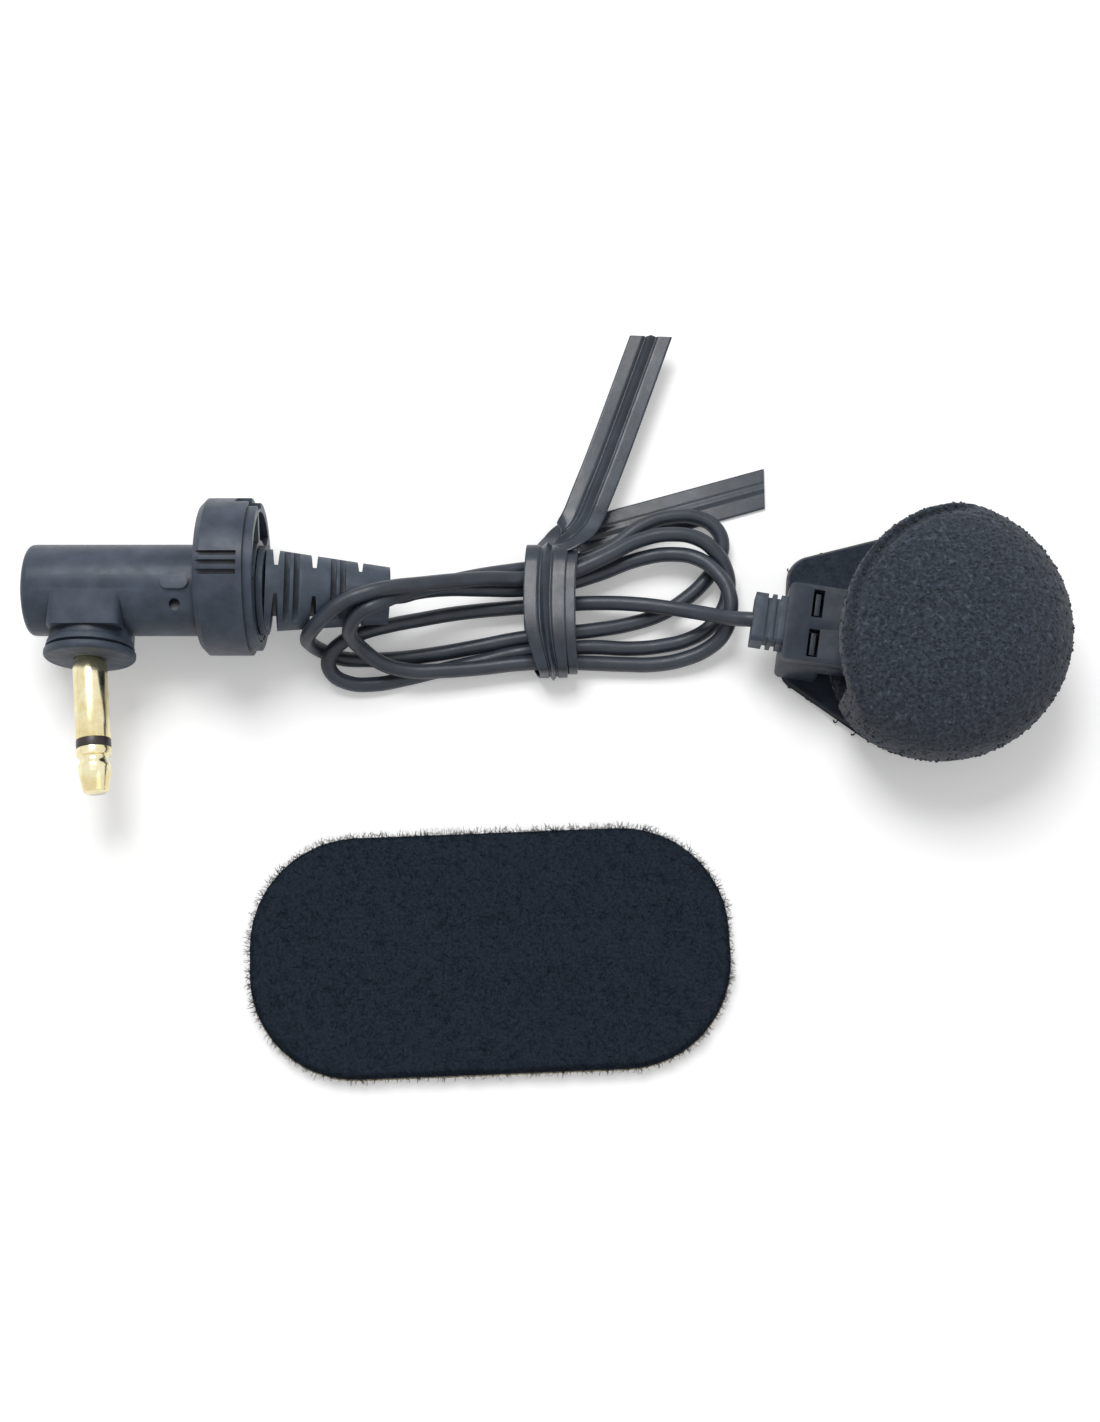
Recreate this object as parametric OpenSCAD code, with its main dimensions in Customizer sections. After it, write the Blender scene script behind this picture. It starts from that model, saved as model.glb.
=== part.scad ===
// Lead microphone with a foam windscreen, a right-angle plug and the loop pad it sticks to.
// Millimetres, +Z up. The origin is on the resting plane, under the centre of the windscreen.

/* [Windscreen] */
// Radius of the round foam body
foam_r = 13.5; // [12:0.1:18]
// Height of the foam body
foam_h = 15; // [14:0.1:20]
// Squareness of the foam's side, where 2 is an ellipse
foam_square = 2.5; // [2:0.1:4]
// Radius of the curved mouth line
mouth_r = 15.1; // [14:0.1:20]
// Distance from the foam's centre to its mouth
mouth_dist = 10.2; // [8.6:0.1:10.6]

/* [Microphone head] */
// Radius of the capsule housing
cup_r = 8; // [7.4:0.1:9]
// Height of the capsule housing
cup_h = 7.2; // [6.6:0.1:9]
// Wall of the housing
wall = 1; // [0.8:0.05:1.2]
// Wall over and under the neck's hollow
neck_wall = 0.7; // [0.6:0.05:0.8]
// Width of the neck
neck_w = 8.2; // [7:0.1:9.9]
// Length of the neck from the capsule's centre
neck_len = 15.3; // [14.5:0.1:19]
// Height of the neck
neck_h = 3.8; // [3.4:0.1:4.8]
// Height of the foot under the neck
foot_h = 3.4; // [3:0.1:5]
// Length of the foot
foot_len = 4.5; // [3:0.1:4.6]
// Radius of the electret capsule
capsule_r = 4.85; // [4:0.05:5.2]
// Height of the electret capsule
capsule_h = 3.9; // [3:0.1:4.1]
// Turn of the head about the vertical, in degrees
head_turn = -9; // [-15:1:0]

/* [Hook pad] */
// Height of the hooks
hook_h = 0.9; // [0.6:0.1:1.4]
// Thickness of the hook tape
tape_t = 0.25; // [0.2:0.05:0.5]
// Thickness of its adhesive
adhesive_t = 0.25; // [0.15:0.05:0.4]
// Radius of the pad's round part
pad_round_r = 12.2; // [10:0.1:13]

/* [Loop pad] */
// Length of the loop pad
loop_len = 49; // [40:0.5:70]
// Width of the loop pad
loop_w = 24.8; // [23:0.1:30]
// Corner radius of the loop pad
loop_corner = 11; // [6:0.1:11.4]
// Height of the pile
pile_h = 1.1; // [0.8:0.1:2]
// Thickness of the knitted backing
backing_t = 0.45; // [0.3:0.05:0.8]
// Thickness of the release liner
liner_t = 0.15; // [0.1:0.05:0.3]

/* [Plug pin] */
// Radius of the pin
pin_r = 1.75; // [1.65:0.05:2.1]
// Length of the pin beyond its flange
pin_len = 14; // [12:0.5:20]
// Length of the tip section
tip_len = 4.6; // [3.8:0.1:6]
// Length of the insulating band
band_len = 0.9; // [0.6:0.1:1.5]
// Lean of the pin away from square, in degrees
pin_lean = 6; // [0:1:8]

/* [Plug housing] */
// Radius of the barrel
barrel_r = 4.7; // [4.5:0.1:5.6]
// Length of the barrel as far as the collar
barrel_len = 18.3; // [16:0.1:24]
// Width of the elbow block
elbow_w = 7.4; // [6.6:0.1:8]
// Radius of the flange round the pin
flange_r = 4.65; // [4.4:0.05:5.5]
// Radius of the barrel's hollow
hollow_r = 2.7; // [2.5:0.1:3.1]

/* [Cam collar] */
// Outer radius of the collar
collar_r = 8.1; // [7.8:0.1:10]
// Offset of the collar's rim from the barrel's axis
collar_off = 1.45; // [0:0.05:1.6]
// Width of the collar
collar_w = 5.9; // [5:0.1:8]
// Running clearance on the journal, on the radius
run_fit = 0.05; // [0.02:0.01:0.1]

/* [Strain relief] */
// Radius at the root of the relief
relief_r1 = 4.3; // [3.8:0.1:4.6]
// Radius at the free end of the relief
relief_r2 = 2.95; // [2.4:0.05:3.4]
// Length of the relief
relief_len = 12.4; // [10:0.1:12.9]
// Droop of the relief, in degrees
relief_droop = 8; // [6:1:9]

/* [Lead] */
// Diameter of the lead
lead_d = 1.6; // [1.2:0.05:1.8]
// Thickness of the tie's ribbon
ribbon_t = 0.4; // [0.25:0.05:0.6]
// Width of the tie's ribbon
ribbon_w = 4.6; // [3.5:0.1:5.5]

/* [Hidden] */
$fn = 64;
slack = 0.3;              // gap round a soft piece
close_fit = 0.02;         // gap between pieces that stay together
over = 1;                 // how far a cut runs past a face
small_r = 0.6;            // small edge rounding

pad_top = hook_h + tape_t + adhesive_t;
neck_z = pad_top + foot_h;
neck_top = neck_z + neck_h;
cup_top = neck_z + cup_h;
split_z = neck_z + neck_h * 0.58;
neck_y = -1.1;
lead_z = neck_z + neck_h / 2;
foam_z = pad_top + slack;
pocket_r = cup_r + slack;
mouth_y = -1.8;

felt_t = 0.4;
board_t = 0.6;
can_top = cup_top - wall - felt_t;
can_z = can_top - capsule_h;
board_r = capsule_r - 0.25;
grille_r = capsule_r + 0.7;
grille_t = 0.4;
ledge_t = 0.3;
window_w = 1.1;
window_gap = 1.3;
window_x = -12.8;
latch_t = 0.5;
boot_len = 3.3;
boot_w = 5.3;
boot_tongue = wall + 0.6;
lead_bore = lead_d / 2 + 0.06;
clamp_len = 0.8;
clamp_r = lead_bore + 0.25;

axis_y = 4.5;
axis_z = collar_r;
collar_x = -75;
barrel_x = collar_x - barrel_len;
side_gap = 0.1;
journal_r = barrel_r - 0.5;
journal_end = collar_x + collar_w + side_gap;
plug_x = barrel_x + 7;
elbow_top = 4.5;
elbow_reach = 4.9;
skirt_t = 0.7;
flange_t = 1.8;
flange_y = axis_y - elbow_reach - skirt_t - flange_t;
sleeve_len = pin_len - tip_len - band_len;
sleeve_in = 4.3;
root_r = pin_r - 0.25;   // the pin's narrower root, inside the flange and the housing
core_r = pin_r - 0.6;
rod_r = 0.6;
rod_in = sleeve_in + 1.6;
well_r = 2.6;
well_depth = axis_y - flange_y - sleeve_in * cos(pin_lean) + 0.3;
lug_t = 0.3;
wire_r = 0.25;
spigot_len = 3;
root_t = 0.6;
relief_x = journal_end + root_t;
crimp_len = 1.6;
crimp_r = 1.2;

loop_adh_t = 0.2;
backing_z = liner_t + loop_adh_t;
loop_pos = [-45.5, -31.7, 0];
loop_turn = 2.3;

// The tie's band and the bundle inside it
band_x = -42;
band_w = 5.2;
waist_y0 = -2.3;
waist_y1 = 10.2;
waist_h = 4.6;
tail_long = [[-36.6, 9.2], [-28.4, 35.2]];
tail_short = [[-37.4, 12.6], [-16.2, 18.7]];
tail_z = 3;

// Route of the lead where it runs free, from inside the plug to the bundle
relief_end_x = relief_x + relief_len * cos(relief_droop);
relief_end_z = axis_z - relief_len * sin(relief_droop);
plug_route = [
    [relief_x - spigot_len - crimp_len, axis_y, axis_z],
    [relief_x - spigot_len, axis_y, axis_z],
    [relief_x, axis_y, axis_z],
    [(relief_x + relief_end_x) / 2, axis_y, (axis_z + relief_end_z) / 2],
    [relief_end_x, axis_y, relief_end_z],
    [-55, 4.5, 6.2]
];
// and from the bundle to the head, whose last two points are inside the boot
mic_route = [
    [-22.5, 2.1, 4.6],
    [-21, 2.1, 5.6],
    [-19.8, 2, 6.3],
    head_point(-neck_len - boot_len, neck_y, lead_z),
    head_point(-neck_len, neck_y, lead_z),
    head_point(-neck_len + boot_tongue + clamp_len, neck_y, lead_z)
];

// ---- helpers ----

// A point given in the head's own turned frame
function head_point(x, y, z) = [
    x * cos(head_turn) - y * sin(head_turn),
    x * sin(head_turn) + y * cos(head_turn),
    z
];

function unit(v) = v / norm(v);

// Direction of a route at one of its points
function heading(pts, i) = unit(pts[min(i + 1, len(pts) - 1)] - pts[max(i - 1, 0)]);

// One ring of a tube, square to the route
function ring(pts, i, r, sides) =
    let (t = heading(pts, i), u = unit(cross(t, [0, 0, 1])), v = cross(u, t))
    [for (k = [0:sides - 1]) pts[i] + r * (cos(k * 360 / sides) * u + sin(k * 360 / sides) * v)];

// A closed tube swept along a route
module tube(pts, r, sides = 8) {
    count = len(pts);
    points = [for (i = [0:count - 1]) each ring(pts, i, r, sides)];
    walls = [
        for (i = [0:count - 2], k = [0:sides - 1])
        let (a = i * sides + k, b = i * sides + (k + 1) % sides)
        [a, b, b + sides, a + sides]
    ];
    first_cap = [for (k = [sides - 1:-1:0]) k];
    last_cap = [for (k = [0:sides - 1]) (count - 1) * sides + k];
    polyhedron(points = points, faces = concat(walls, [first_cap], [last_cap]));
}

// A rectangle with round corners, centred
module round_rect(w, h, r) {
    square([w - 2 * r, h], center = true);
    square([w, h - 2 * r], center = true);
    for (x = [-1, 1], y = [-1, 1])
        translate([x * (w / 2 - r), y * (h / 2 - r)]) circle(r = r);
}

// A solid of revolution, or any upright shape, laid along +X or +Y
module along_x() { rotate([0, 90, 0]) children(); }
module along_y() { rotate([-90, 0, 0]) children(); }

module head() { rotate([0, 0, head_turn]) children(); }
module barrel_frame(x) { translate([x, axis_y, axis_z]) children(); }

// The relief's own frame, along its drooping axis
module relief_frame(x) {
    barrel_frame(relief_x) rotate([0, relief_droop, 0]) translate([x, 0, 0]) along_x() children();
}

// The pin's own frame: it starts at the flange's face and runs along -Y
module pin_frame() { translate([plug_x, flange_y, axis_z]) rotate([0, 0, pin_lean]) children(); }

// ---- windscreen ----

// Height of the foam's outer curve at a distance from its axis
function foam_curve(a) = [
    foam_r * pow(cos(a), 2 / foam_square),
    foam_h / 2 * pow(sin(a), 2 / foam_square)
];

module foam_profile() {
    step = 6;
    upper = [for (a = [0:step:90]) foam_curve(a)];
    lower = [for (a = [90:-step:step]) [foam_curve(a)[0], -foam_curve(a)[1]]];
    polygon(concat(upper, lower));
}

module foam_windscreen() {
    pocket_h = cup_h + 2 * slack;
    color([0.16, 0.18, 0.21]) head() difference() {
        intersection() {
            translate([0, 0, foam_z + foam_h / 2]) rotate_extrude() foam_profile();
            translate([mouth_r - mouth_dist, mouth_y, foam_z]) cylinder(r = mouth_r, h = foam_h);
        }
        translate([0, 0, neck_z - slack]) {
            cylinder(r = pocket_r, h = pocket_h);
            translate([-foam_r - over, -pocket_r, 0]) cube([foam_r + over, 2 * pocket_r, pocket_h]);
        }
    }
}

// ---- hook pad ----

// The pad is round under the windscreen and tapers to a square end behind the neck
module pad_outline() {
    hull() {
        translate([0, 1]) circle(r = pad_round_r);
        translate([3 - neck_len, 5.9]) circle(r = 2.8);
        translate([2.5 - neck_len, -4.3]) circle(r = 1.6);
    }
}

module pad_layer(z, t) { head() translate([0, 0, z]) linear_extrude(t) pad_outline(); }

module hook_field() { color([0.1, 0.11, 0.13]) pad_layer(0, hook_h); }
module hook_tape() { color([0.13, 0.14, 0.17]) pad_layer(hook_h, tape_t); }
module hook_adhesive() { color([0.75, 0.74, 0.7]) pad_layer(hook_h + tape_t, adhesive_t); }

// ---- head ----

// Neck and cup in plan, drawn from the split line up or down
module neck_block(x0, x1, w, z0, z1) {
    translate([(x0 + x1) / 2, neck_y, z0])
        linear_extrude(z1 - z0) round_rect(x1 - x0, w, small_r);
}

// The hollow inside the neck and the cup, and the boot's slot at the neck's end
module head_hollow(z0, z1) {
    translate([0, 0, z0]) cylinder(r = cup_r - wall, h = z1 - z0);
    translate([wall - neck_len, neck_y - neck_w / 2 + wall, neck_z + neck_wall])
        cube([neck_len - wall, neck_w - 2 * wall, neck_h - 2 * neck_wall]);
}

// The slot for the boot's tongue, split between base and cover
module tongue_slot() {
    tongue_w = boot_w - 2 * wall + 2 * close_fit;
    tongue_h = neck_h - 2 * neck_wall;
    translate([-neck_len - over, neck_y - tongue_w / 2, lead_z - tongue_h / 2])
        cube([wall + 2 * over, tongue_w, tongue_h]);
}

// Each latch stands on the base and shows in its window
module latches(gap) {
    for (side = [-1, 1])
        translate([window_x + window_w / 2, neck_y + side * (window_gap / 2 + window_len() / 2), 0])
            translate([-latch_t / 2 - gap, -window_len() / 2 + slack - gap, neck_z + wall / 2])
                cube([latch_t + 2 * gap, window_len() - 2 * slack + 2 * gap, neck_h - wall]);
}

function window_len() = (neck_w - window_gap) / 2 - wall / 2;

module mic_base() {
    color([0.23, 0.26, 0.3]) head() {
        difference() {
            union() {
                neck_block(-neck_len, foot_len - neck_len, neck_w, pad_top, neck_z + small_r);
                neck_block(-neck_len, 0, neck_w, neck_z, split_z);
                translate([0, 0, neck_z]) cylinder(r = cup_r, h = split_z - neck_z);
            }
            head_hollow(neck_z + wall, split_z + over);
            tongue_slot();
        }
        latches(0);
    }
}

module mic_cover() {
    color([0.25, 0.28, 0.32]) head() difference() {
        union() {
            neck_block(-neck_len, 0, neck_w, split_z, neck_top);
            translate([0, 0, split_z]) cylinder(r = cup_r, h = cup_top - split_z);
        }
        head_hollow(split_z - over, cup_top - wall);
        tongue_slot();
        latches(close_fit);
        translate([0, 0, cup_top - wall - over]) cylinder(r = grille_r - 0.5, h = wall + 2 * over);
        translate([0, 0, cup_top - wall + ledge_t]) cylinder(r = grille_r, h = wall + over);
        for (side = [-1, 1])
            translate([window_x, neck_y + side * (window_gap + window_len()) / 2, lead_z])
                translate([0, -window_len() / 2, 0]) cube([window_w, window_len(), neck_h]);
    }
}

module mic_grille() {
    hole_r = 0.4;
    pitch = 1.25;
    rings = 3;
    color([0.12, 0.13, 0.15]) head() translate([0, 0, cup_top - wall + ledge_t]) difference() {
        cylinder(r = grille_r - close_fit, h = grille_t);
        for (i = [0:rings], k = [0:max(6 * i - 1, 0)])
            rotate([0, 0, k * 60 / max(i, 1)]) translate([i * pitch, 0, -over])
                cylinder(r = hole_r, h = grille_t + 2 * over, $fn = 24);
    }
}

module capsule_felt() {
    color([0.08, 0.08, 0.09]) head() translate([0, 0, can_top])
        cylinder(r = board_r, h = felt_t);
}

module capsule_can() {
    sound_hole = 1;
    shell_t = 0.25;
    color([0.8, 0.81, 0.82]) head() translate([0, 0, can_z]) difference() {
        cylinder(r = capsule_r, h = capsule_h);
        translate([0, 0, -over]) cylinder(r = capsule_r - shell_t, h = capsule_h + over - shell_t);
        cylinder(r = sound_hole, h = capsule_h + over);
    }
}

// The rubber ring that holds the capsule centred in the cup
module capsule_gasket() {
    color([0.1, 0.1, 0.11]) head() translate([0, 0, can_z + capsule_h / 4]) difference() {
        cylinder(r = cup_r - wall - close_fit, h = capsule_h / 2);
        translate([0, 0, -over]) cylinder(r = capsule_r + close_fit, h = capsule_h + over);
    }
}

module capsule_board() {
    color([0.1, 0.35, 0.2]) head() translate([0, 0, can_z - board_t])
        cylinder(r = board_r, h = board_t + close_fit);
}

// Signal and ground wires, side by side in the neck
module mic_wires() {
    spread = 0.6;
    start_x = -neck_len + boot_tongue + clamp_len;
    color([0.7, 0.2, 0.15]) for (side = [-1, 1])
        tube([
            head_point(start_x, neck_y + side * wire_r * 1.3, lead_z),
            head_point(start_x + 1.5, neck_y + side * spread, lead_z - 0.2),
            head_point(-cup_r, neck_y / 2 + side * spread, can_z - board_t / 2),
            head_point(-board_r * 0.98, side * spread, can_z - board_t / 2)
        ], wire_r);
}

module lead_clamp() {
    color([0.7, 0.7, 0.72]) head() translate([-neck_len + boot_tongue, neck_y, lead_z])
        along_x() difference() {
            cylinder(r = clamp_r, h = clamp_len);
            translate([0, 0, -over]) cylinder(r = lead_bore, h = clamp_len + 2 * over);
        }
}

module mic_boot() {
    groove_w = 0.45;
    groove_d = 0.5;
    color([0.2, 0.22, 0.26]) head() translate([-neck_len, neck_y, lead_z]) difference() {
        union() {
            translate([-boot_len, 0, 0]) rotate([90, 0, 90])
                linear_extrude(boot_len) round_rect(boot_w, neck_h - slack, small_r);
            translate([-small_r, -boot_w / 2 + wall, -neck_h / 2 + neck_wall + close_fit])
                cube([boot_tongue + small_r, boot_w - 2 * wall, neck_h - 2 * neck_wall - 2 * close_fit]);
        }
        for (i = [1:2]) translate([-i * 2 * groove_w, 0, 0]) difference() {
            cube([groove_w, boot_w + over, neck_h + over], center = true);
            cube([groove_w + over, boot_w - 2 * groove_d, neck_h - 2 * groove_d], center = true);
        }
        translate([-boot_len - over, 0, 0]) along_x()
            cylinder(r = lead_bore, h = boot_len + boot_tongue + 2 * over);
    }
}

// ---- lead and tie ----

module lead_mic_tail() { color([0.2, 0.22, 0.26]) tube(mic_route, lead_d / 2); }
module lead_plug_tail() { color([0.2, 0.22, 0.26]) tube(plug_route, lead_d / 2); }

// Cross-section of the bundle where the tie holds it
module waist_section(grow) {
    translate([(waist_y0 + waist_y1) / 2, ribbon_t + waist_h / 2])
        round_rect(waist_y1 - waist_y0 + 2 * grow, waist_h + 2 * grow, 1.6 + grow);
}

// A section drawn in Y and Z, extruded along X
module yz_extrude(x0, x1) {
    translate([x0, 0, 0]) rotate([90, 0, 90]) linear_extrude(x1 - x0) children();
}

// The bundle: open loops right of the tie, and loops left of it that lie over the relief
module lead_hank() {
    left_x = relief_end_x - 9.3;
    saddle_top = 12.6;
    saddle_y = [-1.9, 8.8];
    lobe_h = 5.6;
    color([0.2, 0.22, 0.26]) difference() {
        union() {
            yz_extrude(band_x - 1, band_x + band_w + 1) waist_section(0);
            linear_extrude(lobe_h) hull() {
                translate([band_x + band_w + 3.7, 4.5]) circle(r = 3.4);
                translate([-28.5, 11.6]) circle(r = 4.2);
                translate([-24.4, 11.2]) circle(r = 4.4);
                translate([-23.4, 1.8]) circle(r = 3.8);
                translate([-29, 0.4]) circle(r = 2.8);
            }
            linear_extrude(waist_h) hull() {
                translate([left_x + 2.4, -2]) circle(r = 2.4);
                translate([left_x + 10, -1.9]) circle(r = 2.6);
                translate([band_x - 4.6, 2]) circle(r = 4.4);
            }
            translate([0, saddle_y[1], 0]) rotate([90, 0, 0]) linear_extrude(saddle_y[1] - saddle_y[0])
                polygon([
                    [left_x, 0.5], [left_x, saddle_top - 1], [left_x + 1, saddle_top],
                    [relief_end_x, saddle_top], [band_x - 1, waist_h], [band_x - 1, 0.5]
                ]);
        }
        relief_frame(-over) cylinder(
            r1 = relief_r1 + slack, r2 = relief_r2 + slack, h = relief_len + over + slack
        );
        tie_tails(slack);
    }
}

// One flat strip between two points, with its raised core
module ribbon(a, b, z, gap) {
    run = b - a;
    core = 0.35;
    translate([a[0], a[1], z]) rotate([0, 0, atan2(run[1], run[0])]) {
        translate([-gap, -ribbon_w / 2 - gap, -gap])
            cube([norm(run) + 2 * gap, ribbon_w + 2 * gap, ribbon_t + 2 * gap]);
        translate([0, 0, ribbon_t]) along_x() cylinder(r = core + gap, h = norm(run), $fn = 16);
    }
}

// Both ends of the tie, twisted together at the band and left long
module tie_tails(gap) {
    knot_r = 2.2;
    translate([tail_short[0][0] + 0.6, waist_y1 + ribbon_t + knot_r - 0.6, -gap])
        cylinder(r = knot_r + gap, h = tail_z + ribbon_t + 2 * gap);
    ribbon([tail_long[0][0], waist_y1 + ribbon_t + 0.6], tail_long[1], tail_z, gap);
    ribbon(tail_short[0], tail_short[1], 0, gap);
}

module twist_tie() {
    color([0.36, 0.39, 0.43]) union() {
        yz_extrude(band_x, band_x + band_w) difference() {
            waist_section(ribbon_t);
            waist_section(close_fit);
        }
        tie_tails(0);
    }
}

// ---- plug ----

// Open wedges in the relief's sides and slots in its top and bottom, in turn along it
module relief_cuts() {
    core = 1.5;
    wedge_w = 0.95;
    slot_w = 0.6;
    web = 0.35;
    reach = relief_r1 + over;
    for (share = [0.06, 0.375, 0.755], side = [-1, 1])
        translate([share * relief_len, 0, -reach]) linear_extrude(2 * reach) polygon([
            [-wedge_w / 2, side * reach], [wedge_w / 2, side * reach],
            [wedge_w / 5, side * core], [-wedge_w / 5, side * core]
        ]);
    for (share = [0.19, 0.57], side = [-1, 1], twin = [-1, 1])
        translate([share * relief_len + twin * (slot_w + web) / 2, 0, side * (core + reach / 2)])
            cube([slot_w, 2 * reach, reach], center = true);
}

module strain_relief() {
    spigot_bore = 1.35;
    color([0.22, 0.25, 0.29]) difference() {
        union() {
            barrel_frame(journal_end) along_x() cylinder(r = barrel_r - 0.1, h = root_t);
            barrel_frame(journal_end - spigot_len) along_x() cylinder(r = hollow_r, h = spigot_len);
            difference() {
                relief_frame(-root_t / 2)
                    cylinder(r1 = relief_r1, r2 = relief_r2, h = relief_len + root_t / 2);
                barrel_frame(relief_x) rotate([0, relief_droop, 0]) relief_cuts();
            }
        }
        barrel_frame(journal_end - spigot_len - over) along_x()
            cylinder(r = spigot_bore, h = spigot_len + over + root_t / 2);
        relief_frame(-root_t) cylinder(r = lead_bore, h = relief_len + root_t + over);
    }
}

// The collar's rim is off-centre, so a half turn brings its thick side round
module cam_collar() {
    rim_t = 0.9;
    rim_step = 0.5;
    bevel = 0.7;
    pocket_d = 3.2;
    pocket_wall = 0.9;
    rib_w = 0.9;
    groove_w = 0.5;
    groove_d = 0.4;
    groove_pitch = 0.95;
    notch_w = 2.4;
    main_w = collar_w - rim_t;
    color([0.24, 0.27, 0.31]) barrel_frame(collar_x) difference() {
        translate([0, collar_off, 0]) along_x() {
            cylinder(r1 = collar_r - bevel, r2 = collar_r, h = bevel);
            translate([0, 0, bevel]) cylinder(r = collar_r, h = main_w - bevel);
            translate([0, 0, main_w]) cylinder(r = collar_r - rim_step, h = rim_t);
        }
        translate([-over, 0, 0]) along_x() cylinder(r = journal_r + run_fit, h = collar_w + 2 * over);
        translate([collar_w - pocket_d, 0, 0]) rotate([90, 0, 90]) linear_extrude(pocket_d + over)
            difference() {
                translate([collar_off, 0]) circle(r = collar_r - rim_step - pocket_wall);
                circle(r = journal_r + run_fit + pocket_wall);
                for (k = [0:2]) rotate([0, 0, 60 * k + 30])
                    square([4 * collar_r, rib_w], center = true);
            }
        for (side = [0, 180], k = [-1:1])
            translate([-over, collar_off, 0])
                rotate([side + 8 + k * groove_pitch / collar_r * 180 / PI, 0, 0])
                    translate([0, -groove_w / 2, collar_r - groove_d])
                        cube([main_w + over - 0.6, groove_w, 2 * groove_d]);
        translate([0, collar_off, 0]) rotate([-62, 0, 0])
            translate([main_w - 1.4, -notch_w / 2, collar_r - 1.1]) cube([collar_w, notch_w, 2]);
    }
}

// Barrel with its domed end, the collar's journal, and the elbow block for the pin
module plug_housing() {
    dome = 0.5;
    edge = 0.7;
    end_wall = 1.6;
    mark_l = 2.8;
    mark_w = 1.5;
    mark_t = 0.15;
    dimple_r = 0.55;
    dimple_d = 0.8;
    color([0.24, 0.27, 0.31]) difference() {
        union() {
            barrel_frame(barrel_x) along_x() rotate_extrude() polygon(concat(
                [[0, 0], [barrel_r * 0.6, dome * 0.3], [barrel_r - edge, dome]],
                [for (a = [15:15:90]) [barrel_r - edge + edge * sin(a), dome + edge - edge * cos(a)]],
                [[barrel_r, barrel_len - side_gap], [journal_r, barrel_len - side_gap]],
                [[journal_r, journal_end - barrel_x], [0, journal_end - barrel_x]]
            ));
            translate([plug_x, axis_y, axis_z]) rotate([90, 0, 0]) linear_extrude(elbow_reach)
                round_rect(elbow_w, 2 * elbow_top, 0.8);
            translate([plug_x, axis_y - elbow_reach + 1, axis_z]) rotate([90, 0, 0])
                cylinder(r1 = elbow_w / 2 + 0.4, r2 = flange_r - 0.4, h = 1 + skirt_t);
            translate([collar_x - 2.2, axis_y - 0.6, axis_z])
                linear_extrude(barrel_r + mark_t) round_rect(mark_l, mark_w, 0.7);
        }
        barrel_frame(barrel_x + end_wall) along_x()
            cylinder(r = hollow_r, h = journal_end - barrel_x + over);
        translate([plug_x, axis_y, axis_z]) rotate([90, 0, 0]) cylinder(r = well_r, h = well_depth);
        pin_frame() rotate([-90, 0, 0]) translate([0, 0, -over])
            cylinder(r = root_r, h = flange_t + skirt_t + sleeve_in);
        translate([collar_x - 2.2, axis_y - 2.7, axis_z + barrel_r - dimple_d - 0.6])
            cylinder(r = dimple_r, h = barrel_r, $fn = 32);
    }
}

// Two soft ribs with a groove between them
module plug_flange() {
    rib = 0.8;
    groove = 0.3;
    color([0.17, 0.19, 0.22]) difference() {
        translate([plug_x, flange_y, axis_z]) along_y() rotate_extrude() polygon([
            [0, 0], [flange_r - 0.25, 0], [flange_r, 0.25], [flange_r, rib],
            [flange_r - 0.7, rib], [flange_r - 0.7, rib + groove],
            [flange_r - 0.15, rib + groove], [flange_r - 0.3, flange_t], [0, flange_t]
        ]);
        pin_frame() rotate([-90, 0, 0]) translate([0, 0, -over])
            cylinder(r = root_r, h = flange_t + 2 * over);
    }
}

module plug_sleeve() {
    lift = flange_r * sin(pin_lean);  // the leaning pin's wide part starts clear of the flange
    color([0.9, 0.78, 0.42]) pin_frame() translate([0, -sleeve_len, 0]) along_y() difference() {
        union() {
            cylinder(r = pin_r, h = sleeve_len - lift);
            cylinder(r = root_r, h = sleeve_len + sleeve_in);
        }
        translate([0, 0, -over]) cylinder(r = core_r, h = sleeve_len + sleeve_in + 2 * over);
    }
}

module plug_band() {
    color([0.08, 0.07, 0.07]) pin_frame() translate([0, -sleeve_len - band_len, 0]) along_y()
        difference() {
            cylinder(r = pin_r, h = band_len);
            translate([0, 0, -over]) cylinder(r = core_r, h = band_len + 2 * over);
        }
}

// The insulating tube between the sleeve and the tip's rod
module plug_core() {
    color([0.1, 0.09, 0.09]) pin_frame() translate([0, -sleeve_len - band_len, 0]) along_y()
        difference() {
            cylinder(r = core_r, h = sleeve_len + band_len + sleeve_in + lug_t);
            translate([0, 0, -over]) cylinder(r = rod_r, h = pin_len + rod_in);
        }
}

// The tip's shoulder, its narrow neck and its nose, with the rod behind it
module plug_tip() {
    neck_r = pin_r - 0.35;
    neck_start = 0.72 * tip_len;
    neck_end = 0.8 * tip_len;
    color([0.92, 0.8, 0.45]) pin_frame() translate([0, -pin_len, 0]) along_y() rotate_extrude()
        polygon([
            [0, 0], [0.6 * pin_r, 0], [0.72 * pin_r, 0.12], [pin_r - 0.15, 0.4 * tip_len],
            [pin_r - 0.1, 0.6 * tip_len], [neck_r, neck_start], [neck_r, neck_end],
            [pin_r, neck_end + 0.1], [pin_r, tip_len], [rod_r, tip_len],
            [rod_r, pin_len + rod_in], [0, pin_len + rod_in]
        ]);
}

// A washer with a solder tab, on the pin's axis inside the housing
module lug(inner, outer, depth, side) {
    pin_frame() translate([0, depth, 0]) along_y() difference() {
        union() {
            cylinder(r = outer, h = lug_t);
            translate([0, side * 0.5 - 0.5, 0]) cube([outer + 0.7, 1, lug_t]);
        }
        translate([0, 0, -over]) cylinder(r = inner, h = lug_t + 2 * over);
    }
}

module sleeve_lug() { color([0.82, 0.8, 0.72]) lug(core_r, root_r, sleeve_in, 1); }
module tip_lug() { color([0.82, 0.8, 0.72]) lug(rod_r, 1.3, sleeve_in + 1, 0); }

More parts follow.
